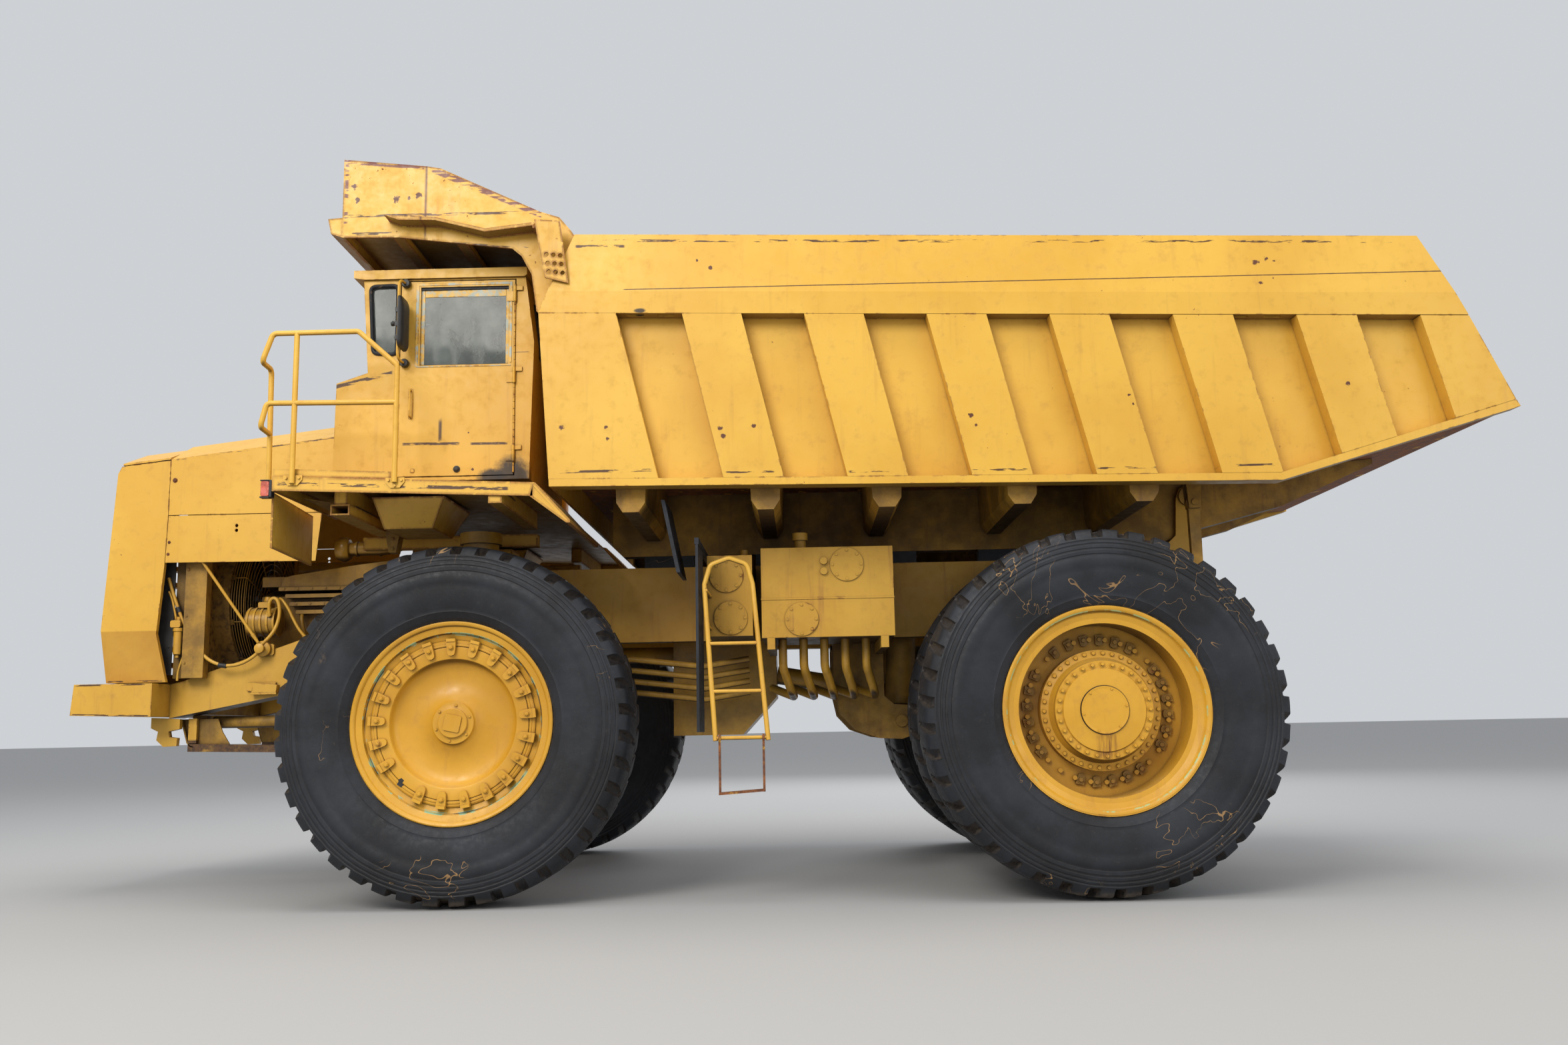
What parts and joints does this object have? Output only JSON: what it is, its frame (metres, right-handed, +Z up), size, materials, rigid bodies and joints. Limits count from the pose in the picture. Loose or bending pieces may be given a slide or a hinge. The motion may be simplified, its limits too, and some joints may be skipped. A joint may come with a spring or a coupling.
{
  "type": "mining dump truck",
  "caption": "Rigid-frame mining dump truck with tipping body, steered front wheels, dual rear wheels, side cab, decks, tanks and telescopic hoists.",
  "frame": {"origin": "on the ground under the middle of the overall length and width", "axes": "+X to the rear along the length, -Y is the driver (left) side, +Z up"},
  "size_m": [11.24, 5.152, 5.6399],
  "materials": {
    "yellow_paint": "worn matt ochre paint",
    "chrome_rod": "hard chrome",
    "cab_glass": "tinted",
    "window_frame": "dull anodised",
    "tyre_rubber": "dusty",
    "black_rubber": "matt",
    "amber_lens": "clear gloss",
    "seat_vinyl": "worn",
    "black_plastic": "moulded"
  },
  "bodies": {
    "chassis": {"frame_rails": "yellow_paint", "frame_crossmembers": "yellow_paint", "front_bumper": "yellow_paint", "radiator_guard": "yellow_paint", "radiator": "yellow_paint", "hood": "yellow_paint", "engine": "yellow_paint", "transmission": "yellow_paint", "decks": "yellow_paint", "handrails": "yellow_paint", "marker_lamps": "amber_lens", "air_cleaners": "yellow_paint", "fuel_tank": "yellow_paint", "hydraulic_tank": "yellow_paint", "hydraulic_hoses": "black_rubber", "mud_flaps": "black_rubber", "access_ladder": "yellow_paint", "hoist_brackets": "yellow_paint", "rear_axle_housing": "yellow_paint", "suspension_struts": "yellow_paint", "body_pads": "black_rubber", "cab_shell": "yellow_paint", "cab_glass": "cab_glass", "driver_seat": "seat_vinyl", "cab_console": "black_plastic"},
    "dump_body": {"body_sides": "yellow_paint", "side_ribs": "yellow_paint", "body_floor": "yellow_paint", "front_wall": "yellow_paint", "canopy": "yellow_paint", "floor_bolsters": "yellow_paint", "floor_stringers": "yellow_paint"},
    "cab_door": {"cab_door": "yellow_paint"},
    "door_window": {"door_window": "window_frame"},
    "door_mirror": {"door_mirror": "black_plastic"},
    "steering_wheel": {"steering_wheel": "black_plastic"},
    "radiator_fan": {"radiator_fan": "yellow_paint"},
    "ladder_step": {"ladder_step": "yellow_paint"},
    "left_steering": {"left_steering_knuckle": "yellow_paint"},
    "left_front_wheel": {"left_front_tyre": "tyre_rubber", "left_front_wheel": "yellow_paint"},
    "left_rear_wheel": {"left_rear_tyres": "tyre_rubber", "left_rear_wheel": "yellow_paint"},
    "left_steering_barrel": {"left_steering_barrel": "yellow_paint"},
    "left_steering_rod": {"left_steering_rod": "chrome_rod"},
    "left_hoist_barrel": {"left_hoist_barrel": "yellow_paint"},
    "left_hoist_sleeve": {"left_hoist_sleeve": "chrome_rod"},
    "left_hoist_rod": {"left_hoist_rod": "chrome_rod"},
    "left_rock_ejector": {"left_rock_ejector": "yellow_paint"},
    "right_steering": {"right_steering_knuckle": "yellow_paint"},
    "right_front_wheel": {"right_front_tyre": "tyre_rubber", "right_front_wheel": "yellow_paint"},
    "right_rear_wheel": {"right_rear_tyres": "tyre_rubber", "right_rear_wheel": "yellow_paint"},
    "right_steering_barrel": {"right_steering_barrel": "yellow_paint"},
    "right_steering_rod": {"right_steering_rod": "chrome_rod"},
    "right_hoist_barrel": {"right_hoist_barrel": "yellow_paint"},
    "right_hoist_sleeve": {"right_hoist_sleeve": "chrome_rod"},
    "right_hoist_rod": {"right_hoist_rod": "chrome_rod"},
    "right_rock_ejector": {"right_rock_ejector": "yellow_paint"}
  },
  "joints": [
    {"name": "body_hoist", "type": "hinge", "parent": "chassis", "child": "dump_body", "pos_m": [3.64, 0, 3.11], "axis": [0, 1, 0], "range_deg": [0, 50]},
    {"name": "left_steer", "type": "hinge", "parent": "chassis", "child": "left_steering", "pos_m": [-2.22, -1.5, 1.31], "axis": [0, 0, 1], "range_deg": [-32, 32]},
    {"name": "right_steer", "type": "hinge", "parent": "chassis", "child": "right_steering", "pos_m": [-2.22, 1.5, 1.31], "axis": [0, 0, 1], "range_deg": [-32, 32]},
    {"name": "steering_wheel_turn", "type": "hinge", "parent": "chassis", "child": "steering_wheel", "pos_m": [-2.634, -1.4, 3.8995], "axis": [0.8, 0, 0.6], "range_deg": [-640, 640]},
    {"name": "fan_spin", "type": "hinge", "parent": "chassis", "child": "radiator_fan", "pos_m": [-4.665, 0, 2.42], "axis": [1, 0, 0], "continuous": true},
    {"name": "door_swing", "type": "hinge", "parent": "chassis", "child": "cab_door", "pos_m": [-1.85, -2.064, 3.95], "axis": [0, 0, 1], "range_deg": [0, 80]},
    {"name": "window_drop", "type": "slide", "parent": "cab_door", "child": "door_window", "axis": [0, 0, -1], "range_m": [0, 0.6]},
    {"name": "mirror_swivel", "type": "hinge", "parent": "cab_door", "child": "door_mirror", "pos_m": [-2.72, -2.19, 4.355], "axis": [0, 0, 1], "range_deg": [-40, 40]},
    {"name": "step_swing", "type": "hinge", "parent": "chassis", "child": "ladder_step", "pos_m": [-0.12, -2.3, 1.165], "axis": [1, 0, 0], "range_deg": [-30, 30]},
    {"name": "left_front_wheel_spin", "type": "hinge", "parent": "left_steering", "child": "left_front_wheel", "pos_m": [-2.22, -2.026, 1.31], "axis": [0, 1, 0], "continuous": true},
    {"name": "left_rear_wheel_spin", "type": "hinge", "parent": "chassis", "child": "left_rear_wheel", "pos_m": [2.47, -1.766, 1.31], "axis": [0, 1, 0], "continuous": true},
    {"name": "left_steering_cylinder_swing", "type": "hinge", "parent": "chassis", "child": "left_steering_barrel", "pos_m": [-4.79, -0.62, 1.37], "axis": [0, 0, 1], "range_deg": [-1.05, 1.05]},
    {"name": "left_steering_cylinder_stroke", "type": "slide", "parent": "left_steering_barrel", "child": "left_steering_rod", "axis": [0.9919, -0.1274, 0], "range_m": [-0.2876, 0.2876]},
    {"name": "left_hoist_swing", "type": "hinge", "parent": "chassis", "child": "left_hoist_barrel", "pos_m": [1.15, -0.46, 1.27], "axis": [0, 1, 0], "range_deg": [0, 8.51]},
    {"name": "left_hoist_stage_1", "type": "slide", "parent": "left_hoist_barrel", "child": "left_hoist_sleeve", "axis": [0.0522, 0, 0.9986], "range_m": [0, 1.0124]},
    {"name": "left_hoist_stage_2", "type": "slide", "parent": "left_hoist_sleeve", "child": "left_hoist_rod", "axis": [0.0522, 0, 0.9986], "range_m": [0, 1.0124]},
    {"name": "left_ejector_swing", "type": "hinge", "parent": "dump_body", "child": "left_rock_ejector", "pos_m": [3.39, -1.766, 2.895], "axis": [0, 1, 0], "range_deg": [-15, 15]},
    {"name": "right_front_wheel_spin", "type": "hinge", "parent": "right_steering", "child": "right_front_wheel", "pos_m": [-2.22, 2.026, 1.31], "axis": [0, 1, 0], "continuous": true},
    {"name": "right_rear_wheel_spin", "type": "hinge", "parent": "chassis", "child": "right_rear_wheel", "pos_m": [2.47, 1.766, 1.31], "axis": [0, 1, 0], "continuous": true},
    {"name": "right_steering_cylinder_swing", "type": "hinge", "parent": "chassis", "child": "right_steering_barrel", "pos_m": [-4.79, 0.62, 1.37], "axis": [0, 0, 1], "range_deg": [-1.05, 1.05]},
    {"name": "right_steering_cylinder_stroke", "type": "slide", "parent": "right_steering_barrel", "child": "right_steering_rod", "axis": [0.9919, 0.1274, 0], "range_m": [-0.2876, 0.2876]},
    {"name": "right_hoist_swing", "type": "hinge", "parent": "chassis", "child": "right_hoist_barrel", "pos_m": [1.15, 0.46, 1.27], "axis": [0, 1, 0], "range_deg": [0, 8.51]},
    {"name": "right_hoist_stage_1", "type": "slide", "parent": "right_hoist_barrel", "child": "right_hoist_sleeve", "axis": [0.0522, 0, 0.9986], "range_m": [0, 1.0124]},
    {"name": "right_hoist_stage_2", "type": "slide", "parent": "right_hoist_sleeve", "child": "right_hoist_rod", "axis": [0.0522, 0, 0.9986], "range_m": [0, 1.0124]},
    {"name": "right_ejector_swing", "type": "hinge", "parent": "dump_body", "child": "right_rock_ejector", "pos_m": [3.39, 1.766, 2.895], "axis": [0, 1, 0], "range_deg": [-15, 15]}
  ],
  "couplings": [
    {"joint": "right_steer", "follows": "left_steer", "ratio": 1},
    {"joint": "steering_wheel_turn", "follows": "left_steer", "ratio": 20},
    {"joint": "left_steering_cylinder_swing", "follows": "left_steer", "ratio": -0.0323},
    {"joint": "left_steering_cylinder_stroke", "follows": "left_steer", "m_per_rad": -0.5148},
    {"joint": "left_hoist_swing", "follows": "body_hoist", "ratio": 0.17},
    {"joint": "left_hoist_stage_1", "follows": "body_hoist", "m_per_rad": 1.16},
    {"joint": "left_hoist_stage_2", "follows": "body_hoist", "m_per_rad": 1.16},
    {"joint": "right_steering_cylinder_swing", "follows": "left_steer", "ratio": -0.0323},
    {"joint": "right_steering_cylinder_stroke", "follows": "left_steer", "m_per_rad": 0.5148},
    {"joint": "right_hoist_swing", "follows": "body_hoist", "ratio": 0.17},
    {"joint": "right_hoist_stage_1", "follows": "body_hoist", "m_per_rad": 1.16},
    {"joint": "right_hoist_stage_2", "follows": "body_hoist", "m_per_rad": 1.16}
  ]
}
